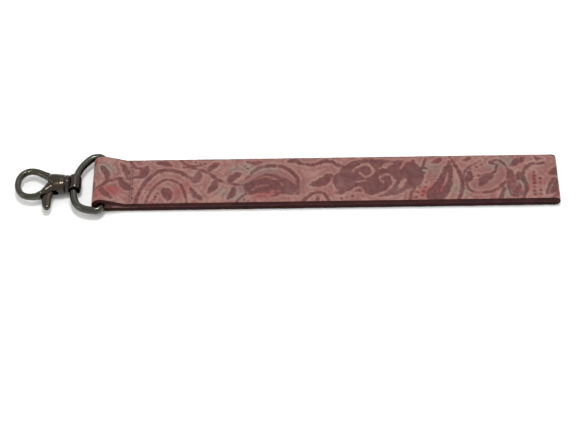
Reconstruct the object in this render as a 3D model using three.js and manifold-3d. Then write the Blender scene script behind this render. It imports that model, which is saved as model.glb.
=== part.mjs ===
// Wristlet keychain: a folded strap loop, a D-ring held in its end, and a swivel clasp with a sprung gate.
// Millimetres. +X runs from the clasp to the strap's folded end, +Z is up, and the strap lies flat on z = 0.
import * as THREE from 'three';
import { mergeVertices } from 'three/addons/utils/BufferGeometryUtils.js';
import Module from 'manifold-3d';

const wasm = await Module();
wasm.setup();

// ---- Driving dimensions ----

// Strap: two flat layers of a three-ply band, with a dark coat along both long edges
const STRAP_WIDTH = 25;
const FOLD_END_X = 122.5;
const FACE_PLY = 0.7;
const CORE_PLY = 0.9;
const LINING_PLY = 0.6;
const BAND = FACE_PLY + CORE_PLY + LINING_PLY;
const LAYER_GAP = 0.6;
const EDGE_COAT = 0.3;
const STRAP_HEIGHT = 2 * BAND + LAYER_GAP;
const PLY_WIDTH = STRAP_WIDTH - 2 * EDGE_COAT;

// D-ring: welded round wire with a straight bar inside the strap's end loop
const WIRE_R = 1.75;
const BAR_X = -82.9;
const BAR_CLEARANCE = 0.25;
const RING_HALF_WIDTH = 15;
const RING_CORNER_R = 2.4;
const RING_APEX_X = -95.35;
const RING_FULLNESS = 2.3;
const RING_LEAN = 0.12;
const LEAN_START = 3;
const LEAN_END = 10;

// The hardware lies in one plane, at the height of the bar
const MID_Z = WIRE_R + BAR_CLEARANCE + BAND;

// The upper layer slopes down from the bar and bends level at the stitch line
const SLOPE_ANGLE = (19 * Math.PI) / 180;
const BEND_R = 9;

// Stitch line that closes the strap behind the D-ring
const STITCH_X = -69.8;
const STITCH_COUNT = 9;
const STITCH_PITCH = 2.4;
const THREAD_R = 0.25;
const NEEDLE_R = 0.34;
const GROOVE_WIDTH = 0.8;
const GROOVE_TOP = 0.45;
const GROOVE_BOTTOM = 0.6;
const STITCH_CROWN = 0.14;

// Joined ends of the band, folded inside the strap
const SEAM_START_X = -78.5;
const SEAM_END_X = -66.5;
const SEAM_THICKNESS = 1.3;

// Swivel eye: a bail round the ring's wire, a flange, and a headed stem (lengths from the bail's centre)
const EYE_HALF_LENGTH = 3.8;
const EYE_OUTER_R = 3.2;
const EYE_HOLE_R = 2.15;
const EYE_MOUTH_R = 2.65;
const FLANGE_R = 4.2;
const FLANGE_START = 2.3;
const FLANGE_END = 4.25;
const STEM_R = 1.35;
const STEM_HEAD_R = 1.9;
const STEM_HEAD_START = 6.15;
const STEM_HEAD_END = 7.15;

// Clasp body: an oval barrel, open inside for the stem's head, the spring and the lever
const BARREL_RIGHT_X = -99.75;
const BARREL_LEFT_X = -107.4;
const BARREL_HALF_Y = 5.2;
const BARREL_HALF_Z = 3.75;
const STEM_HOLE_R = 1.5;
const CHAMBER_R = 2.15;
const CHAMBER_RIGHT_X = -101.35;
const CHAMBER_LEFT_X = -103.4;

// Gate lever and its pivot
const PIVOT_X = -105.4;
const PIVOT_Y = -1.2;
const HUB_R = 2;
const PIN_R = 0.85;
const PIN_HOLE_R = 0.95;
const PIN_DOME = 0.22;
const LEVER_BORE_R = 1;
const LEVER_HALF_Z = 1.4;
const SLOT_HALF_Z = 1.6;
const NOSE_R = 14;
const NOSE_GAP = 0.18;

// Gate spring, which pushes the thumb tab away from the swivel
const SPRING_Y = -3.25;
const SPRING_R = 0.66;
const SPRING_WIRE_R = 0.17;
const SPRING_TURNS = 4;
const SPRING_LEFT_X = -103.4;
const SPRING_RIGHT_X = -101.45;
const SPRING_POCKET_R = 0.98;

// ---- Shape helpers ----

function finish(color, roughness, metalness) {
  return new THREE.MeshStandardMaterial({ color, roughness, metalness });
}

// Closed geometry to a solid that can be joined and cut
function solid(geometry) {
  const bare = geometry.clone();
  bare.deleteAttribute('normal');
  bare.deleteAttribute('uv');
  const welded = mergeVertices(bare, 1e-5);
  return new wasm.Manifold(new wasm.Mesh({
    numProp: 3,
    vertProperties: new Float32Array(welded.attributes.position.array),
    triVerts: new Uint32Array(welded.index.array),
  }));
}

// Joined or cut solid back to a geometry
function geometryOf(shape) {
  const mesh = shape.getMesh();
  const geometry = new THREE.BufferGeometry();
  geometry.setAttribute('position', new THREE.BufferAttribute(new Float32Array(mesh.vertProperties), 3));
  geometry.setIndex(new THREE.BufferAttribute(new Uint32Array(mesh.triVerts), 1));
  geometry.computeVertexNormals();
  return geometry;
}

function part(name, geometry, material) {
  const mesh = new THREE.Mesh(geometry, material);
  mesh.name = name;
  return mesh;
}

const join = (shapes) => shapes.reduce((whole, shape) => whole.add(shape));

// Cylinder standing along Z, centred on its height
function post(x, y, z, r, height, sides) {
  const geometry = new THREE.CylinderGeometry(r, r, height, sides);
  return solid(geometry.rotateX(Math.PI / 2).translate(x, y, z));
}

// Cylinder lying along X between two places
function rod(leftX, rightX, y, r, sides) {
  const geometry = new THREE.CylinderGeometry(r, r, rightX - leftX, sides);
  return solid(geometry.rotateZ(Math.PI / 2).translate((leftX + rightX) / 2, y, 0));
}

// Equal rings of points joined into one closed geometry, either end to end or with flat caps
function skin(rings, closed) {
  const sides = rings[0].length;
  const last = closed ? rings.length : rings.length - 1;
  const index = [];
  for (let i = 0; i < last; i += 1) {
    const a = i * sides;
    const b = ((i + 1) % rings.length) * sides;
    for (let j = 0; j < sides; j += 1) {
      const k = (j + 1) % sides;
      index.push(a + j, a + k, b + k, a + j, b + k, b + j);
    }
  }
  if (!closed) {
    const end = (rings.length - 1) * sides;
    for (let j = 1; j < sides - 1; j += 1) {
      index.push(0, j + 1, j, end, end + j, end + j + 1);
    }
  }
  const geometry = new THREE.BufferGeometry();
  geometry.setFromPoints(rings.flat());
  geometry.setIndex(index);
  geometry.computeVertexNormals();
  return geometry;
}

// Rounded section: squareness 2 is an ellipse, more is squarer
function roundedSection(halfWidth, halfHeight, squareness, sides) {
  const rounded = (value) => Math.sign(value) * Math.abs(value) ** (2 / squareness);
  return Array.from({ length: sides }, (_, j) => {
    const angle = (2 * Math.PI * j) / sides;
    return [halfWidth * rounded(Math.cos(angle)), halfHeight * rounded(Math.sin(angle))];
  });
}

// Section carried along a flat path
function sweepFlat(path, closed, sectionAt) {
  const count = path.length;
  const rings = path.map((point, i) => {
    const before = closed ? path[(i + count - 1) % count] : path[Math.max(i - 1, 0)];
    const after = closed ? path[(i + 1) % count] : path[Math.min(i + 1, count - 1)];
    const along = after.clone().sub(before).normalize();
    const section = sectionAt(i / (count - 1));
    return section.map(([w, h]) => new THREE.Vector3(point.x - along.y * w, point.y + along.x * w, h));
  });
  return skin(rings, closed);
}

// Smooth curve through flat control points, as evenly spaced points
function flatCurve(points, count) {
  const stops = points.map(([x, y]) => new THREE.Vector3(x, y, 0));
  return new THREE.CatmullRomCurve3(stops, false, 'centripetal').getSpacedPoints(count);
}

// Value eased between evenly spaced stations from 0 to 1
function stationValue(stations, t) {
  const place = t * (stations.length - 1);
  const i = Math.min(Math.floor(place), stations.length - 2);
  return THREE.MathUtils.lerp(stations[i], stations[i + 1], THREE.MathUtils.smoothstep(place - i, 0, 1));
}

// ---- Strap ----

// Side outline of the band at a distance outside its inner surface, drawn in X and Z
function bandOutline(Outline, distance) {
  const barR = WIRE_R + BAR_CLEARANCE + distance;
  const bendR = BEND_R - distance;
  const foldR = LAYER_GAP / 2 + distance;
  const foldX = FOLD_END_X - BAND - LAYER_GAP / 2;
  const topOfGap = BAND + LAYER_GAP;
  const bendZ = topOfGap + BEND_R;
  const run = WIRE_R + BAR_CLEARANCE + BEND_R - Math.cos(SLOPE_ANGLE) * (bendZ - MID_Z);
  const bendX = BAR_X + run / Math.sin(SLOPE_ANGLE);
  const outline = new Outline();
  outline.absarc(BAR_X, MID_Z, barR, Math.PI / 2 - SLOPE_ANGLE, (3 * Math.PI) / 2, false);
  outline.absarc(foldX, STRAP_HEIGHT / 2, foldR, -Math.PI / 2, Math.PI / 2, false);
  outline.absarc(bendX, bendZ, bendR, -Math.PI / 2, -Math.PI / 2 - SLOPE_ANGLE, true);
  outline.closePath();
  return outline;
}

// Ring-shaped ply between two distances, given its width along Y
function ply(inner, outer, width) {
  const shape = bandOutline(THREE.Shape, outer);
  if (inner !== null) {
    shape.holes.push(bandOutline(THREE.Path, inner));
  }
  const settings = { depth: width, bevelEnabled: false, curveSegments: 18 };
  return new THREE.ExtrudeGeometry(shape, settings).translate(0, 0, -width / 2).rotateX(Math.PI / 2);
}

const stitchY = (stitch) => (stitch - STITCH_COUNT / 2) * STITCH_PITCH;
const stitchEnds = Array.from({ length: STITCH_COUNT + 1 }, (_, i) => stitchY(i));

// Needle holes through the whole strap, with a shallow groove above and below for the thread
function stitchCuts() {
  const middle = STRAP_HEIGHT / 2;
  const holes = stitchEnds.map((y) => post(STITCH_X, y, middle, NEEDLE_R, STRAP_HEIGHT + 2, 8));
  const grooveLength = STITCH_COUNT * STITCH_PITCH + 1;
  const groove = (depth, z) => solid(
    new THREE.BoxGeometry(GROOVE_WIDTH, grooveLength, 2 * depth).translate(STITCH_X, 0, z),
  );
  return join([...holes, groove(GROOVE_TOP, STRAP_HEIGHT), groove(GROOVE_BOTTOM, 0)]);
}

const cuts = stitchCuts();
const stitchedPly = (inner, outer) => geometryOf(solid(ply(inner, outer, PLY_WIDTH)).subtract(cuts));

function seamAllowance() {
  const length = SEAM_END_X - SEAM_START_X;
  const block = new THREE.BoxGeometry(length, PLY_WIDTH, SEAM_THICKNESS)
    .translate(SEAM_START_X + length / 2, 0, BAND + SEAM_THICKNESS / 2);
  const hollow = ply(null, 0, PLY_WIDTH + 1);
  return geometryOf(solid(hollow).intersect(solid(block)).subtract(cuts));
}

// Row of stitches lying in its groove, raised or lowered between the needle holes
class StitchRow extends THREE.Curve {
  constructor(z, crown) {
    super();
    this.z = z;
    this.crown = crown;
  }

  getPoint(t, target = new THREE.Vector3()) {
    const stitch = t * STITCH_COUNT;
    return target.set(STITCH_X, stitchY(stitch), this.z + this.crown * Math.abs(Math.sin(Math.PI * stitch)));
  }
}

const round = (r) => new THREE.Shape().absarc(0, 0, r, 0, 2 * Math.PI, false);

// One face's thread: its stitches, and a leg down each needle hole to the middle of the strap
function threadRow(z, crown) {
  const row = new THREE.ExtrudeGeometry(round(THREAD_R), {
    steps: STITCH_COUNT * 4,
    curveSegments: 4,
    extrudePath: new StitchRow(z, crown),
  });
  const middle = STRAP_HEIGHT / 2;
  const legs = stitchEnds.map((y) => post(
    STITCH_X,
    y,
    (z + middle) / 2,
    THREAD_R - 0.02,
    Math.abs(z - middle),
    8,
  ));
  return geometryOf(join([solid(row), ...legs]));
}

// ---- D-ring ----

// Centre line of the wire: half of it is drawn from the bar to the apex, then mirrored.
// The bow leans towards the near side, as it does on a ring that has been pulled out of true.
function ringPath() {
  const arcX = BAR_X - RING_CORNER_R;
  const cornerY = RING_HALF_WIDTH - RING_CORNER_R;
  const half = [];
  for (let i = 0; i < 5; i += 1) {
    half.push(new THREE.Vector2(BAR_X, (cornerY * i) / 5));
  }
  for (let i = 0; i < 8; i += 1) {
    const angle = (Math.PI * i) / 16;
    half.push(new THREE.Vector2(
      arcX + RING_CORNER_R * Math.cos(angle),
      cornerY + RING_CORNER_R * Math.sin(angle),
    ));
  }
  for (let i = 0; i <= 24; i += 1) {
    const angle = (Math.PI * i) / 48;
    half.push(new THREE.Vector2(
      arcX + (RING_APEX_X - arcX) * Math.sin(angle) ** (2 / RING_FULLNESS),
      RING_HALF_WIDTH * Math.cos(angle) ** (2 / RING_FULLNESS),
    ));
  }
  const mirrored = half.slice(1, -1).reverse().map((p) => new THREE.Vector2(p.x, -p.y));
  return [...half, ...mirrored].map((p) => {
    const lean = RING_LEAN * THREE.MathUtils.smoothstep(BAR_X - p.x, LEAN_START, LEAN_END);
    return new THREE.Vector2(p.x + lean * p.y, p.y);
  });
}

// ---- Swivel eye ----

function swivelEye() {
  const bailProfile = [];
  for (let i = 0; i <= 10; i += 1) {
    const u = i / 5 - 1;
    const fall = Math.abs(u) ** 5;
    bailProfile.push(new THREE.Vector2(EYE_OUTER_R - 0.45 * fall, u * EYE_HALF_LENGTH));
  }
  for (let i = 6; i >= -6; i -= 1) {
    const u = i / 6;
    const flare = (EYE_MOUTH_R - EYE_HOLE_R) * u ** 4;
    bailProfile.push(new THREE.Vector2(EYE_HOLE_R + flare, u * EYE_HALF_LENGTH));
  }
  bailProfile.push(bailProfile[0].clone());
  const stemProfile = [
    [0, FLANGE_START],
    [FLANGE_R - 0.55, FLANGE_START],
    [FLANGE_R - 0.15, FLANGE_START + 0.2],
    [FLANGE_R, FLANGE_START + 0.65],
    [FLANGE_R, FLANGE_END - 0.4],
    [FLANGE_R - 0.3, FLANGE_END],
    [STEM_R, FLANGE_END],
    [STEM_R, STEM_HEAD_START],
    [STEM_HEAD_R, STEM_HEAD_START],
    [STEM_HEAD_R, STEM_HEAD_END - 0.5],
    [STEM_HEAD_R - 0.5, STEM_HEAD_END],
    [0, STEM_HEAD_END],
  ].map(([r, s]) => new THREE.Vector2(r, s));
  const bail = new THREE.LatheGeometry(bailProfile, 48);
  const stem = new THREE.LatheGeometry(stemProfile, 40).rotateZ(Math.PI / 2);
  const hole = new THREE.CylinderGeometry(EYE_MOUTH_R, EYE_MOUTH_R, 4 * EYE_HALF_LENGTH, 32);
  return geometryOf(solid(bail).add(solid(stem).subtract(solid(hole))));
}

// ---- Clasp ----

// Fixed arm, from the barrel round the near side to the claw's tip
const armLine = [
  [-103.5, -0.9], [-106, -2.5], [-108.4, -4.75], [-110.8, -6.25], [-113.4, -6.95], [-116, -6.85],
  [-118.45, -5.85], [-120.1, -3.9], [-120.9, -1.5], [-121, 1], [-120.5, 3.5], [-119.2, 5.6],
  [-117.2, 6.95], [-114.8, 7.4], [-112.4, 6.85],
];
const armHalfWidths = [3.4, 2.95, 2.2, 1.6, 1.35, 1.3, 1.35, 1.4, 1.45, 1.5, 1.5, 1.5, 1.5, 1.5, 1.55];
const armHalfHeights = [3.3, 3.3, 3.05, 2.5, 1.95, 1.7, 1.65];

// Gate, from the pivot's hub along the far side, ending where it meets the claw's tip
const gateLine = [
  [-105.3, -0.4], [-105.6, 2.4], [-107.5, 4.25], [-110.2, 5.75], [-112.4, 6.85], [-114.8, 7.4],
  [-117.2, 6.95], [-119.2, 5.6],
];
const gateHalfWidths = [1.3, 1.7, 1.85, 1.65, 1.55, 1.5, 1.5, 1.5];

// Thumb tab, from the hub out of the near side
const tabLine = [[-105.4, -1.6], [-106.6, -4.6], [-107.45, -8], [-107.3, -11], [-106.95, -14.1]];
const tabHalfWidths = [1.9, 2.1, 2.25, 2.05, 1.6];
const TAB_ROUNDING = 0.14;

// Room the lever takes up between its closed stop and its open stop
const slotPoints = [
  [-103.15, 12], [-110.6, 12], [-110.6, 1.3], [-107.85, -0.9], [-110.12, -6.6], [-110.12, -12],
  [-102.2, -12], [-102.55, -4.6], [-103.15, -1.2],
];

// Barrel sections: distance from its left end, and size
const barrelStations = [
  [0, 0.5], [0.25, 0.74], [0.7, 0.88], [1.4, 0.96], [2.4, 1], [3.8, 0.97], [5.2, 0.925],
  [6.45, 0.885], [7.25, 0.88], [BARREL_RIGHT_X - BARREL_LEFT_X, 0.83],
];

const tallPost = (x, y, r, sides) => post(x, y, 0, r, 20, sides);

function hookBody() {
  const barrelRings = barrelStations.map(([distance, size]) => {
    const section = roundedSection(BARREL_HALF_Y * size, BARREL_HALF_Z * Math.min(1, size + 0.1), 2.3, 40);
    return section.map(([w, h]) => new THREE.Vector3(BARREL_LEFT_X + distance, w, h));
  });
  const arm = sweepFlat(flatCurve(armLine, 72), false, (t) => roundedSection(
    stationValue(armHalfWidths, t),
    stationValue(armHalfHeights, Math.min(2.2 * t, 1)),
    2.2,
    20,
  ));
  const gateRoom = new THREE.BoxGeometry(14, 10, 20).translate(PIVOT_X - 7, 8, 0);
  const gateSweep = tallPost(PIVOT_X, PIVOT_Y, NOSE_R + NOSE_GAP, 160).intersect(solid(gateRoom));
  const slotShape = new THREE.Shape(slotPoints.map(([x, y]) => new THREE.Vector2(x, y)));
  const slot = new THREE.ExtrudeGeometry(slotShape, { depth: 2 * SLOT_HALF_Z, bevelEnabled: false });
  return geometryOf(solid(arm)
    .subtract(gateSweep)
    .add(solid(skin(barrelRings, false)))
    .subtract(solid(slot.translate(0, 0, -SLOT_HALF_Z)))
    .subtract(tallPost(PIVOT_X, PIVOT_Y, PIN_HOLE_R, 24))
    .subtract(rod(CHAMBER_RIGHT_X - 1, BARREL_RIGHT_X + 1, 0, STEM_HOLE_R, 32))
    .subtract(rod(CHAMBER_LEFT_X, CHAMBER_RIGHT_X, 0, CHAMBER_R, 32))
    .subtract(rod(CHAMBER_LEFT_X, CHAMBER_RIGHT_X, SPRING_Y, SPRING_POCKET_R, 20)));
}

function gateLever() {
  const arm = sweepFlat(flatCurve(gateLine, 40), false, (t) => roundedSection(
    stationValue(gateHalfWidths, t),
    LEVER_HALF_Z,
    2.4,
    20,
  ));
  const tab = sweepFlat(flatCurve(tabLine, 18), false, (t) => {
    const intoTip = Math.max((t - 1 + TAB_ROUNDING) / TAB_ROUNDING, 0);
    const size = Math.sqrt(Math.max(1 - intoTip ** 2, 0.03));
    return roundedSection(stationValue(tabHalfWidths, t) * size, LEVER_HALF_Z * Math.sqrt(size), 2.6, 20);
  });
  const hub = post(PIVOT_X, PIVOT_Y, 0, HUB_R, 2 * LEVER_HALF_Z, 36);
  return geometryOf(solid(arm)
    .intersect(tallPost(PIVOT_X, PIVOT_Y, NOSE_R, 160))
    .add(solid(tab))
    .add(hub)
    .subtract(tallPost(PIVOT_X, PIVOT_Y, LEVER_BORE_R, 24)));
}

function gatePin() {
  const half = BARREL_HALF_Z - 0.05;
  const profile = [
    [0, -half - PIN_DOME],
    [PIN_R * 0.6, -half - PIN_DOME * 0.7],
    [PIN_R, -half],
    [PIN_R, half],
    [PIN_R * 0.6, half + PIN_DOME * 0.7],
    [0, half + PIN_DOME],
  ].map(([r, s]) => new THREE.Vector2(r, s));
  return new THREE.LatheGeometry(profile, 24).rotateX(Math.PI / 2);
}

class SpringCoil extends THREE.Curve {
  getPoint(t, target = new THREE.Vector3()) {
    const angle = 2 * Math.PI * SPRING_TURNS * t;
    return target.set(
      THREE.MathUtils.lerp(SPRING_LEFT_X + SPRING_WIRE_R, SPRING_RIGHT_X - SPRING_WIRE_R, t),
      SPRING_Y + SPRING_R * Math.cos(angle),
      SPRING_R * Math.sin(angle),
    );
  }
}

function gateSpring() {
  return new THREE.ExtrudeGeometry(round(SPRING_WIRE_R), {
    steps: SPRING_TURNS * 16,
    curveSegments: 4,
    extrudePath: new SpringCoil(),
  });
}

// ---- Assembly ----

const edgeCoat = finish(0x3f2221, 0.55, 0);
const thread = finish(0xb49a90, 0.6, 0);

const strap = new THREE.Group();
strap.add(
  part('strap_face', stitchedPly(LINING_PLY + CORE_PLY, BAND), finish(0x946864, 0.8, 0)),
  part('strap_core', stitchedPly(LINING_PLY, LINING_PLY + CORE_PLY), finish(0xcfc6ba, 0.95, 0)),
  part('strap_lining', stitchedPly(0, LINING_PLY), finish(0x7c4a4b, 0.85, 0)),
  part('strap_edge_front', ply(0, BAND, EDGE_COAT), edgeCoat),
  part('strap_edge_back', ply(0, BAND, EDGE_COAT), edgeCoat),
  part('seam_allowance', seamAllowance(), finish(0x845456, 0.9, 0)),
  part('needle_thread', threadRow(STRAP_HEIGHT - GROOVE_TOP + THREAD_R, STITCH_CROWN), thread),
  part('bobbin_thread', threadRow(GROOVE_BOTTOM - THREAD_R, -STITCH_CROWN / 2), thread),
);
strap.getObjectByName('strap_edge_front').position.y = -(STRAP_WIDTH - EDGE_COAT) / 2;
strap.getObjectByName('strap_edge_back').position.y = (STRAP_WIDTH - EDGE_COAT) / 2;

const ringWire = sweepFlat(ringPath(), true, () => roundedSection(WIRE_R, WIRE_R, 2, 18));

const hardware = new THREE.Group();
hardware.position.z = MID_Z;
hardware.add(
  part('d_ring', ringWire, finish(0x5c5956, 0.22, 1)),
  part('swivel_eye', swivelEye(), finish(0x5a544e, 0.25, 1)),
  part('hook_body', hookBody(), finish(0x575049, 0.25, 1)),
  part('gate_lever', gateLever(), finish(0x564c45, 0.25, 1)),
  part('gate_pin', gatePin(), finish(0x77716b, 0.2, 1)),
  part('gate_spring', gateSpring(), finish(0x8d8a86, 0.3, 1)),
);
hardware.getObjectByName('swivel_eye').position.x = RING_APEX_X;
hardware.getObjectByName('gate_pin').position.set(PIVOT_X, PIVOT_Y, 0);

const wristlet = new THREE.Group();
wristlet.name = 'wristlet_keychain';
wristlet.add(strap, hardware);

export default wristlet;
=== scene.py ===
# Wristlet keychain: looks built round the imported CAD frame.
# Shapes are drawn in millimetres and placed in metres.
import math

import bpy
import numpy as np
from mathutils import Matrix, Vector


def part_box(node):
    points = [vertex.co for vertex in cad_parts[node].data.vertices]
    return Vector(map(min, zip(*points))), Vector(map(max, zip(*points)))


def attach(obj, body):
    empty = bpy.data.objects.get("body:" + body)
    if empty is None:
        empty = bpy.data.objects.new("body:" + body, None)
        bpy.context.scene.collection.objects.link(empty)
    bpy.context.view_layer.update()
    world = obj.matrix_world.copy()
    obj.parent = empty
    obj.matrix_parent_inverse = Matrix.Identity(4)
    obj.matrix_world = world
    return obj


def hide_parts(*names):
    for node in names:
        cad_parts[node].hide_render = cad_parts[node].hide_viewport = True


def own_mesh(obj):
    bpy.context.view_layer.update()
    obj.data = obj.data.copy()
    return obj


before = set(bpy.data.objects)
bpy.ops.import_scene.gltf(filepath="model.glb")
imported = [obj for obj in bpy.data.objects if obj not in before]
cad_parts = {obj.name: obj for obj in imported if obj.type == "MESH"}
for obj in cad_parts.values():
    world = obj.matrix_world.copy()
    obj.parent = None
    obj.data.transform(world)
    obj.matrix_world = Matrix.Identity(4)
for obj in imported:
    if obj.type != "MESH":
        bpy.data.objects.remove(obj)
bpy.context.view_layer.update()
scene = bpy.context.scene
MM = 0.001

# ---- Camera and light. The camera is fitted to the photograph's view, in millimetres and degrees ----

TARGET = (0.93, -18.66, 2.5)
AZIMUTH, ELEVATION, ROLL = (math.radians(a) for a in (1.064, 53.676, -1.686))
DISTANCE = 771.04
LENS, SENSOR_WIDTH = 108.13, 36
WORLD_STRENGTH = 0.84


def direction(azimuth, elevation):
    """Unit vector from the object towards a place in the room; azimuth 0 is the front."""
    return Vector((
        math.sin(azimuth) * math.cos(elevation),
        -math.cos(azimuth) * math.cos(elevation),
        math.sin(elevation),
    ))


def make_camera():
    back = direction(AZIMUTH, ELEVATION)
    right = (-back).cross(Vector((0, 0, 1))).normalized()
    up = right.cross(-back)
    turned_right = right * math.cos(ROLL) + up * math.sin(ROLL)
    turned_up = up * math.cos(ROLL) - right * math.sin(ROLL)
    data = bpy.data.cameras.new("camera")
    data.lens = LENS
    data.sensor_width = SENSOR_WIDTH
    data.clip_start = 0.01
    data.clip_end = 10
    camera = bpy.data.objects.new("camera", data)
    scene.collection.objects.link(camera)
    place = (Vector(TARGET) + back * DISTANCE) * MM
    turn = Matrix((turned_right, turned_up, back)).transposed().to_4x4()
    camera.matrix_world = Matrix.Translation(place) @ turn
    scene.camera = camera


def area_light(name, azimuth, elevation, distance, size, watts):
    """Round lamp that faces the object, in degrees and metres."""
    back = direction(math.radians(azimuth), math.radians(elevation))
    data = bpy.data.lights.new(name, "AREA")
    data.shape = "DISK"
    data.size = size
    data.energy = watts
    lamp = bpy.data.objects.new(name, data)
    scene.collection.objects.link(lamp)
    lamp.location = back * distance
    lamp.rotation_mode = "QUATERNION"
    lamp.rotation_quaternion = back.to_track_quat("Z", "Y")


def make_light():
    world = bpy.data.worlds.new("studio")
    world.use_nodes = True
    background = world.node_tree.nodes["Background"]
    background.inputs["Color"].default_value = (1, 1, 1, 1)
    background.inputs["Strength"].default_value = WORLD_STRENGTH
    scene.world = world
    scene.view_settings.view_transform = "Standard"
    area_light("overhead", 180, 82, 1.1, 0.3, 6)
    area_light("window", 172, 50, 1.3, 0.7, 1.2)
    area_light("left_fill", -70, 35, 1.2, 0.5, 1.2)


def new_mesh(name, points, faces, scale=MM):
    """Object from points in millimetres, which a scale of 1 keeps."""
    mesh = bpy.data.meshes.new(name)
    mesh.from_pydata((np.asarray(points, float) * scale).tolist(), [], [list(map(int, f)) for f in faces])
    mesh.update()
    made = bpy.data.objects.new(name, mesh)
    scene.collection.objects.link(made)
    return made


# ---- Materials ----

def linear(red, green, blue):
    """Display colour, 0 to 255, as a linear colour."""
    channels = (c / 255 for c in (red, green, blue))
    return tuple(c / 12.92 if c <= 0.04045 else ((c + 0.055) / 1.055) ** 2.4 for c in channels) + (1,)


class Nodes:
    """Short way to write a node tree: each call adds a node and returns its output."""

    def __init__(self, name):
        self.material = bpy.data.materials.new(name)
        self.material.use_nodes = True
        self.tree = self.material.node_tree
        self.shader = self.tree.nodes["Principled BSDF"]

    def add(self, kind, output=0, inputs=None, **settings):
        node = self.tree.nodes.new(kind)
        for key, value in settings.items():
            setattr(node, key, value)
        for key, value in (inputs or {}).items():
            self.put(node.inputs[key], value)
        return node.outputs[output]

    def put(self, socket, value):
        if isinstance(value, bpy.types.NodeSocket):
            self.tree.links.new(value, socket)
        else:
            socket.default_value = value

    def math(self, operation, a, b=0.0):
        return self.add("ShaderNodeMath", inputs={0: a, 1: b}, operation=operation)

    def step(self, value, low, high, to_low=0.0, to_high=1.0):
        """Smooth step of a value from low to high."""
        inputs = {0: value, 1: low, 2: high, 3: to_low, 4: to_high}
        return self.add("ShaderNodeMapRange", inputs=inputs, interpolation_type="SMOOTHSTEP")

    def mix(self, factor, a, b):
        return self.add("ShaderNodeMix", output=2, inputs={0: factor, 6: a, 7: b}, data_type="RGBA")

    def wash(self, colour, mask, share, tone):
        """Colour taken a share of the way to a tone, where the mask is 1."""
        return self.mix(self.math("MULTIPLY", mask, share), colour, tone)

    def noise(self, vector, scale, detail, roughness=0.5):
        inputs = {"Vector": vector, "Scale": scale, "Detail": detail, "Roughness": roughness}
        return self.add("ShaderNodeTexNoise", inputs=inputs)

    def ripple(self, vector, scale, detail, reach):
        """Noise round zero, by half of reach either way."""
        return self.math("MULTIPLY", self.math("SUBTRACT", self.noise(vector, scale, detail), 0.5), reach)

    def place(self):
        """Object coordinates in metres."""
        return self.add("ShaderNodeTexCoord", output=3)

    def uv(self):
        return self.add("ShaderNodeUVMap", uv_map="cloth")

    def attribute(self, name):
        return self.add("ShaderNodeAttribute", output=2, attribute_name=name)

    def split(self, vector):
        node = self.tree.nodes.new("ShaderNodeSeparateXYZ")
        self.put(node.inputs[0], vector)
        return node.outputs

    def bump(self, height, distance, strength, normal=None):
        inputs = {"Height": height, "Distance": distance, "Strength": strength}
        if normal is not None:
            inputs["Normal"] = normal
        return self.add("ShaderNodeBump", inputs=inputs)

    def surface(self, **values):
        for key, value in values.items():
            self.put(self.shader.inputs[key.replace("_", " ")], value)
        return self.material


def weave_height(n, uv, pitch):
    """Plain weave: raised crossings, with slightly stronger ribs along the strap."""
    along, across, _ = n.split(uv)
    turns = 2 * math.pi / pitch
    warp = n.math("SINE", n.math("MULTIPLY", along, turns))
    weft = n.math("SINE", n.math("MULTIPLY", across, turns))
    knots = n.math("MULTIPLY", warp, weft)
    rib = n.math("ABSOLUTE", n.math("SINE", n.math("MULTIPLY", across, turns / 2)))
    return n.math("ADD", n.math("MULTIPLY", knots, 0.5), rib)


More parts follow.
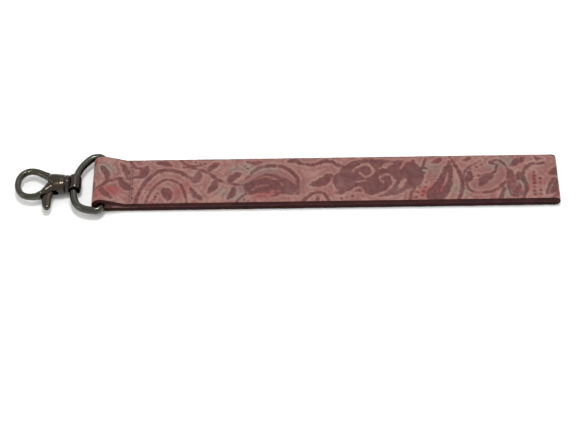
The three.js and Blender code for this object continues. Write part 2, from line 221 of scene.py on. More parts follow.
def fabric_print():
    """Cotton printed in soft, uneven ink where draw_print's fields say."""
    n = Nodes("printed_cotton")
    uv = n.uv()
    bleed = n.math("ADD", n.ripple(uv, 0.42, 2, 2.6), n.ripple(uv, 1.7, 3, 1.1))
    soft = 0.45

    def inside(name, low=-soft, high=soft):
        return n.step(n.math("ADD", n.attribute(name), bleed), low, high, 1.0, 0.0)

    def echo(distance, half_width, blur):
        """Line drawn a little outside every printed shape."""
        away = n.math("ABSOLUTE", n.math("SUBTRACT", n.math("ADD", n.attribute("ink"), bleed), distance))
        return n.step(away, half_width - blur, half_width + blur, 1.0, 0.0)

    ground = n.mix(n.step(n.noise(uv, 0.11, 2), 0.4, 0.62), linear(148, 104, 98), linear(156, 118, 109))
    ground = n.mix(n.step(n.noise(uv, 0.19, 1), 0.52, 0.68), ground, linear(141, 92, 89))
    colour = n.mix(inside("blush", -1.8, 1.8), ground, linear(146, 76, 73))
    colour = n.wash(colour, inside("haze", -1.4, 1.4), 0.85, linear(136, 121, 111))
    flecks = n.step(n.noise(uv, 0.55, 2), 0.56, 0.66)
    colour = n.wash(colour, flecks, 0.5, linear(118, 76, 73))
    colour = n.wash(colour, echo(1.9, 0.7, 0.6), 0.42, linear(110, 66, 65))
    colour = n.wash(colour, echo(0.75, 0.25, 0.35), 0.2, linear(158, 124, 114))
    colour = n.wash(colour, inside("tint"), 0.6, linear(125, 83, 82))
    dark = n.mix(n.step(n.noise(uv, 0.35, 2), 0.35, 0.68), linear(82, 42, 43), linear(102, 60, 60))
    colour = n.wash(colour, inside("ink"), 0.9, dark)
    rim = n.math("SUBTRACT", 1.0, n.step(n.math("ABSOLUTE", n.attribute("ink")), 0.05, 0.6))
    red = n.step(n.noise(uv, 0.16, 1), 0.5, 0.6)
    colour = n.wash(colour, rim, 0.25, n.mix(red, linear(80, 40, 41), linear(140, 66, 63)))
    height = weave_height(n, uv, 0.62)
    yarn = n.noise(uv, 3.1, 3, 0.6)
    # Painted shade: the cloth is darkened in the weave's low spots and kept lighter on the raised threads,
    # mixed with random yarn tone.
    yarn_tone_and_weave_height = n.math("ADD", n.math("MULTIPLY", height, 0.10), n.math("MULTIPLY", yarn, 0.22))
    valley_shaded_colour = n.mix(0.22, colour, linear(80, 50, 48))
    colour = n.wash(valley_shaded_colour, n.step(yarn_tone_and_weave_height, 0.02, 0.30), 0.30, colour)
    wear = n.step(n.noise(uv, 0.06, 2), 0.55, 0.75)
    colour = n.wash(colour, wear, 0.12, linear(162, 136, 128))
    normal = n.bump(n.noise(uv, 0.22, 2), 0.0006, 0.35)
    normal = n.bump(n.math("ADD", height, n.math("MULTIPLY", yarn, 0.8)), 0.00006, 0.7, normal)
    rough = n.step(yarn, 0.2, 0.8, 0.74, 0.92)
    return n.surface(
        Base_Color=colour, Roughness=rough, Normal=normal, Sheen_Weight=0.12, Sheen_Roughness=0.5,
        Sheen_Tint=linear(214, 188, 180), Specular_IOR_Level=0.25,
    )


def plain_cloth(name, low, high, pitch):
    """Unprinted woven or felted cloth between two colours."""
    n = Nodes(name)
    uv = n.uv()
    height = weave_height(n, uv, pitch)
    yarn = n.noise(uv, 2.4, 4, 0.65)
    # Painted shade: darker in the weave's low spots and lighter on the raised threads, mixed with random
    # yarn tone.
    colour = n.mix(n.step(n.math("ADD", n.math("MULTIPLY", height, 0.2), yarn), 0.3, 0.95), low, high)
    normal = n.bump(n.math("ADD", height, yarn), 0.00007, 0.8)
    rough = n.step(yarn, 0.2, 0.8, 0.82, 0.95)
    return n.surface(
        Base_Color=colour, Roughness=rough, Normal=normal, Sheen_Weight=0.15, Specular_IOR_Level=0.2,
    )


def edge_coat():
    """Dyed edge of the stacked plies with fine layer lines, redder on the upper layer and darker below,
    which is painted shade on the one folded edge.
    """
    n = Nodes("dyed_edge")
    place = n.place()
    x, y, z = n.split(place)
    # Painted shade: by height, the upper layer's edge gets the redder, lighter colour and the lower layer's
    # the darker one, though both are the same folded edge.
    upper = n.step(z, BAND * MM, (BAND + FACE_PLY) * MM)
    along = n.add("ShaderNodeCombineXYZ", inputs={0: n.math("MULTIPLY", x, 0.15), 1: y, 2: z})
    fibre = n.noise(along, 5200, 3, 0.6)
    patch = n.noise(place, 160, 2)
    below = n.mix(n.step(patch, 0.35, 0.65), linear(40, 14, 15), linear(52, 20, 21))
    above = n.mix(n.step(patch, 0.35, 0.65), linear(48, 14, 14), linear(64, 22, 20))
    colour = n.mix(upper, below, above)
    colour = n.wash(colour, n.step(fibre, 0.35, 0.7), 0.30, linear(30, 11, 11))
    turns = 2 * math.pi / FACE_PLY
    lines = n.math("ABSOLUTE", n.math("SINE", n.math("MULTIPLY", n.attribute("ply"), turns)))
    colour = n.mix(n.step(lines, 0.0, 0.35, 0.35, 0.0), colour, linear(26, 9, 9))
    normal = n.bump(n.math("ADD", n.math("MULTIPLY", lines, 0.5), fibre), 0.00012, 0.7)
    rough = n.step(fibre, 0.2, 0.8, 0.5, 0.78)
    return n.surface(Base_Color=colour, Roughness=rough, Normal=normal, Specular_IOR_Level=0.12)


def thread_material():
    n = Nodes("sewing_thread")
    place = n.place()
    fibre = n.noise(place, 9000, 3, 0.6)
    colour = n.mix(n.step(fibre, 0.3, 0.7), linear(112, 78, 74), linear(140, 104, 98))
    normal = n.bump(fibre, 0.00003, 0.6)
    rough = n.step(fibre, 0.2, 0.8, 0.5, 0.7)
    return n.surface(Base_Color=colour, Roughness=rough, Normal=normal, Sheen_Weight=0.3)


def plated_metal(name, dark, light, painted_reflection, rough_low, rough_high):
    """Polished plating over a casting: slow colour drift, faint waviness, hair scratches and small pits.

    From the hook towards the strap the colour turns to a warm tint, a painted reflection of brown
    surroundings rather than a change in the plating.
    """
    n = Nodes(name)
    place = n.place()
    drift = n.noise(place, 95, 2)
    colour = n.mix(n.step(drift, 0.36, 0.64), dark, light)
    x, _, _ = n.split(place)
    # Painted reflection: past this place along X the colour is washed towards the tint, which stands in for
    # brown surroundings mirrored in the metal.
    colour = n.wash(colour, n.step(x, -0.1105, -0.1065), 0.75, painted_reflection)
    streaks = {"Vector": place, "Rotation": (0.4, 0.3, 0.9), "Scale": (1, 14, 14)}
    hair = n.noise(n.add("ShaderNodeMapping", inputs=streaks), 420, 3, 0.6)
    pits = n.noise(place, 2600, 1)
    smudge = n.noise(place, 260, 3)
    polish = n.step(smudge, 0.35, 0.7, rough_low, rough_high)
    rough = n.math("ADD", polish, n.step(hair, 0.62, 0.75, 0.0, 0.07))
    wavy = n.bump(n.noise(place, 240, 2), 0.00012, 0.5)
    marks = n.math("ADD", n.step(hair, 0.6, 0.75), n.step(pits, 0.72, 0.8, 0.0, -0.8))
    normal = n.bump(marks, 0.000006, 0.5, wavy)
    colour = n.mix(n.step(pits, 0.72, 0.8, 0.0, 0.5), colour, linear(24, 22, 20))
    return n.surface(
        Base_Color=colour, Metallic=1.0, Roughness=rough, Normal=normal,
        Coat_Weight=0.45, Coat_Roughness=0.12, Coat_IOR=1.5,
    )


def floor_material():
    n = Nodes("paper_floor")
    tone = n.mix(n.noise(n.place(), 3, 2), linear(246, 246, 245), linear(250, 250, 249))
    return n.surface(Base_Color=tone, Roughness=0.9, Specular_IOR_Level=0.1)


def finish_piece(piece, body, slot, material, *nodes):
    piece.data.materials.clear()
    piece.data.materials.append(material)
    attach(piece, body)
    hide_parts(*nodes)
    return piece


def shade_smooth(piece):
    piece.data.polygons.foreach_set("use_smooth", [True] * len(piece.data.polygons))
    piece.data.update()


# ---- Strap: the band's path. The numbers are part.mjs's own, in millimetres ----

FACE_PLY, CORE_PLY, LINING_PLY = 0.7, 0.9, 0.6
BAND = FACE_PLY + CORE_PLY + LINING_PLY
LAYER_GAP = 0.6
EDGE_COAT = 0.3
STRAP_LOW, STRAP_HIGH = (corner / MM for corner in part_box("strap_face"))
HALF_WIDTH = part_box("strap_edge_back")[1].y / MM
PLY_HALF = HALF_WIDTH - EDGE_COAT
WIRE_R = 1.75
BAR_R = WIRE_R + 0.25
MID_Z = BAR_R + BAND
BAR_X = STRAP_LOW.x + BAR_R + BAND
SLOPE_DEGREES = 19
SLOPE = math.radians(SLOPE_DEGREES)
BEND_R = 9
STITCH_X = -69.8
STITCH_COUNT, STITCH_PITCH = 9, 2.4
STITCH_REACH = 2.2
FINE_STEP, STEP = 0.16, 0.5


def spread(start, end):
    """Places from start to end, closer together near the stitch line."""
    places = [start]
    sign = 1 if end > start else -1
    while (end - places[-1]) * sign > 0:
        near = abs(places[-1] - STITCH_X) < STITCH_REACH
        places.append(places[-1] + sign * (FINE_STEP if near else STEP))
    places[-1] = end
    return places[:-1]


def band_path():
    """Inner surface of the closed band: points, outward normals and distance along the printed face."""
    rows = []
    for angle in np.radians(np.linspace(90 - SLOPE_DEGREES, 270, 46)[:-1]):
        normal = (math.cos(angle), math.sin(angle))
        rows.append((BAR_X + BAR_R * normal[0], MID_Z + BAR_R * normal[1], *normal))
    fold_x = STRAP_HIGH.x - BAND - LAYER_GAP / 2
    rows += [(x, BAND, 0, -1) for x in spread(BAR_X, fold_x)]
    for angle in np.radians(np.linspace(-90, 90, 33)[:-1]):
        normal = (math.cos(angle), math.sin(angle))
        half_gap = LAYER_GAP / 2
        rows.append((fold_x + half_gap * normal[0], BAND + half_gap + half_gap * normal[1], *normal))
    top = BAND + LAYER_GAP
    slope_reach = BAR_R + BEND_R - math.cos(SLOPE) * (top + BEND_R - MID_Z)
    bend_x = BAR_X + slope_reach / math.sin(SLOPE)
    first_top = len(rows)
    rows += [(x, top, 0, 1) for x in spread(fold_x, bend_x)]
    for turn in np.linspace(0, SLOPE, 13)[:-1]:
        normal = (math.sin(turn), math.cos(turn))
        rows.append((bend_x - BEND_R * normal[0], top + BEND_R - BEND_R * normal[1], *normal))
    bend_end = (bend_x - BEND_R * math.sin(SLOPE), top + BEND_R - BEND_R * math.cos(SLOPE))
    normal = (math.sin(SLOPE), math.cos(SLOPE))
    bar_start = (BAR_X + BAR_R * normal[0], MID_Z + BAR_R * normal[1])
    count = round((bend_end[0] - bar_start[0]) / STEP)
    for share in np.linspace(0, 1, count + 1)[:-1]:
        rows.append((
            bend_end[0] + (bar_start[0] - bend_end[0]) * share,
            bend_end[1] + (bar_start[1] - bend_end[1]) * share,
            *normal,
        ))
    rows = np.array(rows)
    outer = rows[:, :2] + rows[:, 2:] * BAND
    steps = np.linalg.norm(np.diff(outer, axis=0), axis=1)
    run = np.concatenate([[0], np.cumsum(steps)])
    length = run[-1] + np.linalg.norm(outer[0] - outer[-1])
    # On top, the printed pattern's length coordinate is X.
    # It is cut where the cloth's ends meet, under the stitches.
    along = fold_x + run[first_top] - run
    wraps = (np.arange(len(rows)) < first_top) & (outer[:, 0] < STITCH_X)
    along[wraps] -= length
    return rows, along, length


PATH, ALONG, LENGTH = band_path()


def stitch_dip(x, y, upper):
    """How far the thread pulls the cloth in, round the row and at each needle hole."""
    reach = 1 / (1 + np.exp((np.abs(y) - STITCH_COUNT * STITCH_PITCH / 2 - 0.4) / 0.12))
    hole = 0.5 + 0.5 * np.cos(2 * np.pi * (y / STITCH_PITCH + STITCH_COUNT / 2))
    depth = (0.46 if upper else 0.6) + 0.12 * hole ** 4
    groove = np.exp(-((x - STITCH_X) / 0.62) ** 4)
    pucker = np.exp(-((x - STITCH_X) / 2.4) ** 2)
    return depth * reach * groove + 0.1 * reach * pucker


def band_ring(name, profile, dips=None, wander=0.0):
    """Closed band swept round the path.

    The profile is a closed list of (y, distance outside the inner surface). The stitches pull in what lies
    further out than dips, and wander is how far the coat's edge strays.
    """
    profile = np.array(profile)
    rows, sides = len(PATH), len(profile)
    distance = np.tile(profile[:, 1], (rows, 1))
    y = np.tile(profile[:, 0], (rows, 1))
    along = np.tile(ALONG[:, None], (1, sides))
    if wander:
        waves = np.sin(along * 0.31 + 0.4) + 0.7 * np.sin(along * 0.83 + 1.9) + 0.5 * np.sin(along * 1.7)
        y = y + np.where(np.abs(y) > PLY_HALF + 0.05, np.sign(y) * wander * (waves - 1), 0)
    if dips is not None:
        x = PATH[:, 0:1] + PATH[:, 2:3] * distance
        for upper, facing in ((True, PATH[:, 3:4] > 0.9), (False, PATH[:, 3:4] < -0.99)):
            pulled = stitch_dip(x, y, upper) * facing * (distance > dips)
            distance = distance - pulled
    points = np.stack([
        PATH[:, 0:1] + PATH[:, 2:3] * distance, y, PATH[:, 1:2] + PATH[:, 3:4] * distance,
    ], axis=-1).reshape(-1, 3)
    i, j = np.meshgrid(np.arange(rows), np.arange(sides), indexing="ij")
    a, b = i * sides + j, i * sides + (j + 1) % sides
    c, d = ((i + 1) % rows) * sides + (j + 1) % sides, ((i + 1) % rows) * sides + j
    made = new_mesh(name, points, np.stack([a, b, c, d], axis=-1).reshape(-1, 4))
    uv = made.data.uv_layers.new(name="cloth")
    loops = np.zeros(len(made.data.loops), np.int32)
    made.data.loops.foreach_get("vertex_index", loops)
    flat = np.stack([along.ravel(), (y + np.where(distance > 1, 0, 40)).ravel()], axis=-1)
    uv.data.foreach_set("uv", flat[loops].astype(np.float32).ravel())
    ply = made.data.attributes.new("ply", "FLOAT", "POINT")
    ply.data.foreach_set("value", np.tile(profile[:, 1], rows).astype(np.float32))
    shade_smooth(made)
    return made, along, y


def ply_profile(inner, outer, columns, rounding):
    """Profile of one ply, fine across its outer side and plain inside."""
    across = np.linspace(-PLY_HALF + rounding, PLY_HALF - rounding, columns)
    corner = [(PLY_HALF - rounding * (1 - math.sin(a)), outer - rounding * (1 - math.cos(a)))
              for a in (math.pi / 6, math.pi / 3, math.pi / 2)]
    top = [(y, outer) for y in across]
    low = [(y, inner) for y in np.linspace(PLY_HALF, -PLY_HALF, 5)]
    return [*top, *corner, *low, *((-y, d) for y, d in reversed(corner))]


# ---- Print: a loose all-over pattern of sprigs, arches, drops and curls, as distances in millimetres ----

FAR = 9.0
STROKE_POINTS = 15


def spline(points, values):
    """Smooth curve through points, with a radius at each."""
    points, values = np.array(points, float), np.array(values, float)
    padded = np.vstack([2 * points[0] - points[1], points, 2 * points[-1] - points[-2]])
    t = np.linspace(0, len(points) - 1, STROKE_POINTS)
    k = np.minimum(t.astype(int), len(points) - 2)
    f = (t - k)[:, None]
    p0, p1, p2, p3 = (padded[k + i] for i in range(4))
    square = 2 * p0 - 5 * p1 + 4 * p2 - p3
    cube = 3 * p1 - p0 - 3 * p2 + p3
    line = 0.5 * (2 * p1 + (p2 - p0) * f + square * f ** 2 + cube * f ** 3)
    return line, np.interp(t / (len(points) - 1), np.linspace(0, 1, len(values)), values)


class Print:
    """Signed distances to the printed shapes at each point of the cloth; negative is inside."""

    def __init__(self, along, across):
        self.u, self.v = along.ravel(), across.ravel()
        self.fields = {name: np.full(self.u.shape, FAR) for name in ("ink", "tint", "blush", "haze")}
        self.origin, self.flip = 0.0, False

    def shape(self, points, radii):
        """Distance to a stroke that follows the points, on the part of the cloth near it."""
        line, r = spline(points, radii)
        if self.flip:
            line[:, 1] = 2 * PLY_HALF - line[:, 1]
        line[:, 0] += self.origin
        reach = r.max() + 3
        near = (self.u > line[:, 0].min() - reach) & (self.u < line[:, 0].max() + reach)
        index = np.flatnonzero(near)
        p = np.stack([self.u[index], self.v[index]], axis=-1)
        best = np.full(len(index), FAR)
        for a, b, ra, rb in zip(line[:-1], line[1:], r[:-1], r[1:]):
            ab = b - a
            t = np.clip(((p - a) @ ab) / max(ab @ ab, 1e-9), 0, 1)
            best = np.minimum(best, np.linalg.norm(p - a - t[:, None] * ab, axis=1) - (ra + (rb - ra) * t))
        return index, best

    def add(self, field, points, radii):
        index, d = self.shape(points, radii)
        self.fields[field][index] = np.minimum(self.fields[field][index], d)

    def carve(self, field, points, radii):
        index, d = self.shape(points, radii)
        self.fields[field][index] = np.maximum(self.fields[field][index], -d)

    def ink(self, *points, r):
        self.add("ink", points, r if isinstance(r, list) else [r])

    def light(self, *points, r):
        self.carve("ink", points, r if isinstance(r, list) else [r])

    def leaf(self, start, end, fat):
        """Leaf with its tip at the start and a slight bow."""
        dx, dy = end[0] - start[0], end[1] - start[1]
        bow = ((start[0] + end[0]) / 2 + 0.12 * dy, (start[1] + end[1]) / 2 - 0.12 * dx)
        self.add("ink", [start, bow, end], [0.25, 0.75 * fat, fat, 0.95 * fat, 0.5 * fat])

    def dots(self, start, end, count, r):
        for t in np.linspace(0, 1, count):
            x, y = start[0] + (end[0] - start[0]) * t, start[1] + (end[1] - start[1]) * t
            self.ink((x, y), (x + 0.1, y), r=r)

    def hatched(self, points, radii):
        """Drop filled with fine stripes, inside an outline."""
        pitch, lean = 1.25, 0.35
        index, d = self.shape(points, radii)
        stripes = np.abs((self.v[index] + lean * self.u[index]) / pitch % 1 - 0.5) * pitch - 0.36 * pitch
        filled = np.maximum(d + 0.9, stripes)
        ring = np.abs(d + 0.25) - 0.42
        self.fields["ink"][index] = np.minimum(self.fields["ink"][index], np.minimum(filled, ring))
        self.fields["tint"][index] = np.minimum(self.fields["tint"][index], d)

    def ringed(self, points, radii, offset, width):
        """Outline alone, an offset outside the drop."""
        index, d = self.shape(points, radii)
        self.fields["ink"][index] = np.minimum(self.fields["ink"][index], np.abs(d - offset) - width)


def tile_sprig(p):
    p.ink((-2, 4), (7, 6.5), (16, 13), (28, 15.5), r=[0.5, 0.65, 0.5])
    p.leaf((5, 6), (2.5, 13), 1.8)
    p.leaf((9, 7.5), (14, 2.4), 1.5)
    p.leaf((12.5, 10.5), (9.5, 18.5), 1.6)
    p.leaf((18, 14), (23.5, 8.4), 1.9)
    p.leaf((21, 14.8), (18.5, 22), 1.5)
    p.ink((22, 24.5), (25, 20.5), (29, 19.5), r=0.55)
    p.leaf((3, 20), (6.5, 23.2), 1.1)
    p.dots((3, 1.6), (7.5, 2.4), 3, 0.5)
    p.dots((24, 3), (27, 5.6), 3, 0.45)


def tile_arch(p):
    p.ink((0.5, -2), (4, 10), (11, 18), (20, 17.5), (28, 12), r=[0.8, 1.0, 0.8])
    p.ink((5, -2), (8, 7), (13.5, 13), (20, 11.5), (23.5, 4), (24, -2), r=0.5)
    p.leaf((15.5, 1.5), (13.8, 8), 2.3)
    p.leaf((1.5, 14), (5.5, 20.5), 1.8)
    p.leaf((17, 20.8), (10.5, 22.8), 1.3)
    p.ink((20, 25), (24, 21), (30, 21), r=0.6)
    p.dots((8.5, 0.6), (10.8, 5.4), 4, 0.42)
    p.leaf((27.5, 2.5), (25.6, 8), 1.3)


def tile_patch(p):
    p.add("tint", [(2, 9), (12, 12), (24, 8)], [4, 6.2, 4.2])
    p.ink((4, 8), (12, 10.5), (21, 7.5), r=[3.2, 5.6, 3.8])
    p.light((6, 12.5), (11, 14.2), (15.5, 12.4), (18.5, 9), r=[0.3, 0.55, 0.3])
    p.light((3.5, 6.2), (7.5, 8.8), (12, 9.2), r=[0.25, 0.5, 0.2])
    p.leaf((13, 3), (17.5, 6.6), 0.9)
    p.light((10, 2.4), (14, 6), (19, 5.6), r=[0.25, 0.6, 0.25])
    p.ink((1.5, 13), (8, 19.4), (18, 19.8), (24.6, 13.5), (25, 4), r=[0.5, 0.9, 0.9, 0.6])
    p.leaf((2, 23), (8.5, 22.6), 1.2)
    p.leaf((27, 21.5), (21, 22.8), 1.3)
    p.dots((-1, 2), (3, 0.8), 3, 0.5)


def tile_leaf(p):
    p.leaf((6, 9), (15.5, 14.5), 2.3)
    p.leaf((17, 4.2), (22, 7.4), 1.5)
    p.ink((-1, 22.5), (7, 20.5), (14, 22.6), (22, 19), (28, 21), r=[0.5, 0.95, 0.5])
    p.ink((2, -1.5), (6, 3.6), (12, 4.4), (15, -1.5), r=0.75)
    p.leaf((8, -0.6), (9.5, 2.2), 0.8)
    p.leaf((22.5, 12.5), (25.5, 17), 1.1)
    p.dots((20, 1.2), (25, 2.6), 3, 0.5)


def tile_curls(p):
    p.ink((-2, 11), (6, 14), (15, 12.5), (25, 14), r=[6, 9.5, 10.5, 8])
    p.light((1, 17), (6.5, 20.6), (10.4, 16.8), (7, 13), (4.2, 15.6), r=[0.4, 0.85, 0.7, 0.4])
    p.light((9, 1.5), (15, 4.6), (19.4, 9.6), (17, 14.6), (13, 12.6), (14.8, 9.8), r=[0.9, 0.7, 0.7, 0.3])
    p.light((-1, 4.5), (4, 7.4), (6, 3.6), r=[0.9, 0.7, 0.3])
    p.light((13.5, 18), (18.6, 20.8), r=[0.3, 1.4, 0.9])
    p.light((21, 6), (24.5, 11), r=[0.3, 1.3, 0.8])
    p.light((22.5, 18), (25.6, 21.8), (29, 22.6), r=0.6)
    p.light((2.5, 10.4), (6.5, 11.2), r=[0.2, 0.6, 0.3])


def tile_wedge(p):
    p.ink((13.5, 2.5), (17.5, 8.5), (19.6, 16), (20.2, 21.5), r=[4.4, 3.9, 2.2, 0.5])
    p.light((15.4, 4.4), (18, 9.4), (19.4, 14.6), r=[0.3, 0.6, 0.25])
    p.ink((1.2, -1.5), (4.4, 9), (9.8, 22.6), r=[0.5, 1.0, 0.6])
    p.ink((22.4, -2), (25.8, 6), (24.6, 15), (20.4, 25), r=[0.6, 1.0, 0.6])
    p.dots((4.6, 1.6), (9.6, 17.6), 7, 0.6)
    p.dots((7.4, 2.2), (9.6, 9.5), 4, 0.55)
    p.leaf((26.4, 9), (29.6, 14.8), 1.6)
    p.leaf((0.4, 16.6), (4.0, 21.8), 1.6)
    p.leaf((12.2, 20.6), (16.6, 23.2), 1.2)
    p.leaf((0.6, 7.5), (2.4, 12.6), 1.1)
    p.add("tint", [(12, 12), (14.6, 18.4)], [2.4, 1.0])


def tile_paisley(p):
    drop = [(8, 8.4), (13.5, 8.8), (19, 13.4), (18.6, 19.6), (14.8, 20.4)]
    size = [4.6, 4.5, 3.0, 1.4, 0.3]
    p.ringed(drop, size, 0.2, 0.55)
    p.add("tint", drop, [r * 0.55 for r in size])
    p.leaf((15.5, 13), (9.4, 8.2), 2.0)
    p.ink((0, 1.5), (2.5, 15), (10, 21.6), r=0.45)
    p.dots((3.2, 15.4), (10.4, 19.2), 4, 0.42)
    p.hatched([(23.4, 15.5), (24.2, 8), (24.8, 4)], [0.6, 2.7, 2.9])
    p.ink((17, -1), (19.8, 5.4), (18.6, 1), r=[0.4, 0.9, 0.5])
    p.leaf((23, 18.6), (27, 22.6), 1.4)
    p.leaf((2, 22), (5.6, 23.4), 0.9)


def tile_columns(p):
    p.ink((2.4, -2), (5.4, 6), (4.2, 13), (7.5, 18.6), (14, 19.8), r=[0.6, 1.0, 0.9, 0.6])
    p.dots((8.6, 2.0), (9.6, 14.6), 7, 0.6)
    p.dots((11.5, 2.2), (11.8, 11), 5, 0.55)
    p.leaf((14.2, 2.5), (18.8, 10.4), 2.6)
    p.light((15.4, 4), (18, 9.6), r=[0.2, 0.45, 0.2])
    p.ink((15, -1.5), (21, 4.4), (25.8, 13), (24, 21), (17.5, 25), r=[0.6, 1.1, 0.6])
    p.leaf((28.4, 3.4), (24, 2.2), 1.4)
    p.leaf((15.8, 13.4), (21.4, 18.2), 1.9)
    p.leaf((0.8, 20), (5.4, 23), 1.3)
    p.leaf((0.4, 9.4), (2.6, 15), 1.2)
    p.leaf((9.8, 23.4), (13.8, 22.2), 0.8)


TILES = (
    tile_sprig, tile_arch, tile_sprig, tile_patch, tile_leaf, tile_curls, tile_wedge, tile_paisley,
    tile_columns,
)
TILE_LENGTH = 24.4
TILE_START = -93.0


def draw_print(along, across):
    """Tiles laid one after another along the cloth, some turned over, with patches of wash."""
    p = Print(along, across + PLY_HALF)
    first = math.floor((along.min() - TILE_START) / TILE_LENGTH)
    last = math.ceil((along.max() - TILE_START) / TILE_LENGTH)
    for k in range(first, last):
        p.origin = TILE_START + k * TILE_LENGTH
        p.flip = (k // len(TILES)) % 2 == 1 or k == 2
        TILES[k % len(TILES)](p)
        if k % 3 == 0:
            p.add("blush", [(8, 4), (15, 6.5)], [2.4, 3.0])
            p.add("haze", [(4, 17), (13, 18)], [2.2, 3.4])
        if k % 3 == 1:
            p.add("blush", [(14, 4), (21, 7), (25, 12)], [0.6, 1.5, 0.6])
        if k % 5 == 2:
            p.add("haze", [(14, 18), (23, 21)], [1.6, 3.0])
        if k % 5 == 3:
            p.add("haze", [(-4, 4), (4, 9)], [3.0, 3.2])
            p.add("blush", [(6, 6), (9, 12)], [1.2, 1.8])
        if k % 4 == 2:
            p.add("haze", [(20, 6), (27, 5)], [2.0, 2.6])
    return p.fields


def strap_cover():
    columns, rounding = 62, 0.1
    inner = LINING_PLY + CORE_PLY
    profile = ply_profile(inner, BAND, columns, rounding)
    cover, along, across = band_ring("strap_cover", profile, dips=1.6)
    for name, field in draw_print(along, across).items():
        made = cover.data.attributes.new(name, "FLOAT", "POINT")
        made.data.foreach_set("value", field.astype(np.float32))
    return cover


def edge_profile(side):
    """Coat on the plies' edge, with a faint groove where two plies meet."""
    bead = [
        (0, 0), (0, BAND), (0.12, BAND - 0.01), (0.22, BAND - 0.06), (0.28, BAND - 0.2), (0.3, BAND - 0.45),
        (0.285, 1.52), (0.3, 1.3), (0.3, 0.9), (0.285, 0.62), (0.3, 0.42), (0.27, 0.16), (0.2, 0.05),
        (0.1, 0.01),
    ]
    points = [(PLY_HALF + y, d) for y, d in bead]
    return points if side > 0 else [(-y, d) for y, d in reversed(points)]


# ---- Stitches ----

def stitch_row(name, surface, crown):
    """Row of twisted-thread stitches that dive into the needle holes and meet in the middle of the strap."""
    middle = BAND + LAYER_GAP / 2
    sides, steps, radius, twist = 18, 44, 0.25, 1.15
    plies, squareness = 3, 0.34
    points, faces = [], []
    for stitch in range(STITCH_COUNT):
        centre = (stitch + 0.5 - STITCH_COUNT / 2) * STITCH_PITCH
        phi = np.linspace(0, math.pi, steps)
        reach = STITCH_PITCH / 2 - 0.15
        y = centre - reach * np.sign(np.cos(phi)) * np.abs(np.cos(phi)) ** squareness
        rise = np.sin(phi) ** squareness
        z = middle + (surface - middle) * rise + crown * np.sin(phi) ** 4
        x = STITCH_X + 0.07 * np.sin(phi * 2 + stitch * 1.7)
        line = np.stack([x, y, z], axis=-1)
        lengths = np.concatenate([[0], np.cumsum(np.linalg.norm(np.diff(line, axis=0), axis=1))])
        tangent = np.gradient(line, axis=0)
        tangent /= np.linalg.norm(tangent, axis=1)[:, None]
        side = np.array([1.0, 0, 0]) - tangent * tangent[:, 0:1]
        side /= np.linalg.norm(side, axis=1)[:, None]
        over = np.cross(tangent, side)
        start = len(points)
        for k in range(steps):
            for j in range(sides):
                a = 2 * math.pi * j / sides
                lay = a - 2 * math.pi * lengths[k] / (plies * twist)
                r = radius * (0.84 + 0.16 * math.cos(plies * lay))
                points.append(line[k] + r * (math.cos(a) * side[k] + math.sin(a) * over[k]))
        for k in range(steps - 1):
            for j in range(sides):
                a, b = start + k * sides + j, start + k * sides + (j + 1) % sides
                faces.append((a, b, b + sides, a + sides))
        faces.append(list(range(start + sides - 1, start - 1, -1)))
        end = start + (steps - 1) * sides
        faces.append(list(range(end, end + sides)))
    made = new_mesh(name, points, faces)
    shade_smooth(made)
    return made


def seam_tuck():
    """The band's joined ends, folded inside the strap: a soft wedge between the layers."""
    start, end = -78.5, -66.5
    slope_x, bend_x, bend_run, bend_rise = -74.115, -71.2, 2.93, 0.49
    clearance, thickest = 0.03, 1.25
    rows, columns = 40, 40
    top = BAND + LAYER_GAP
    points, faces = [], []
    for i in range(rows + 1):
        x = start + (end - start) * i / rows
        into_bend = max(0.0, min(1.0, (bend_x - x) / bend_run))
        rise = max(0.0, math.tan(SLOPE) * (slope_x - x)) + bend_rise * into_bend ** 2
        high = min(top - clearance + rise, BAND + thickest)
        ease = math.sqrt(max(0.0, 1 - (abs(2 * i / rows - 1)) ** 8))
        centre = (BAND + clearance + high) / 2
        half = (high - BAND - clearance) / 2 * max(ease, 0.12)
        for j in range(columns + 1):
            side = 2 * j / columns - 1
            y = side * (PLY_HALF - 0.05 + 0.04 * math.sin(i * 1.3))
            points.append((x, y, centre + half))
            points.append((x, y, centre - half))
    width = 2 * (columns + 1)
    for i in range(rows):
        for j in range(columns):
            a = i * width + 2 * j
            faces.append((a, a + width, a + width + 2, a + 2))
            faces.append((a + 1, a + 3, a + width + 3, a + width + 1))
        for a, flip in ((i * width, False), (i * width + 2 * columns, True)):
            quad = (a, a + 1, a + width + 1, a + width)
            faces.append(quad[::-1] if flip else quad)
    for j in range(columns):
        a, b = 2 * j, rows * width + 2 * j
        faces.append((a, a + 2, a + 3, a + 1))
        faces.append((b, b + 1, b + 3, b + 2))
    made = new_mesh("seam_tuck", points, faces)
    uv = made.data.uv_layers.new(name="cloth")
    for loop in made.data.loops:
        co = made.data.vertices[loop.vertex_index].co
        uv.data[loop.index].uv = (co.x / MM, co.y / MM)
    shade_smooth(made)
    return made


# ---- Hardware: built in millimetres round the hardware's plane, cast into one skin, then scaled ----

FINE_POINTS = 60
SOFTENING = 4
AXIS_R = 0.001


def circle(sides):
    return 2 * np.pi * np.arange(sides) / sides


def rounded(half_width, half_height, squareness, sides):
    """Section that is an ellipse at a squareness of 2, and fuller above it."""
    angles = circle(sides)
    power = 2 / squareness
    return np.stack([
        half_width * np.sign(np.cos(angles)) * np.abs(np.cos(angles)) ** power,
        half_height * np.sign(np.sin(angles)) * np.abs(np.sin(angles)) ** power,
    ], axis=-1)


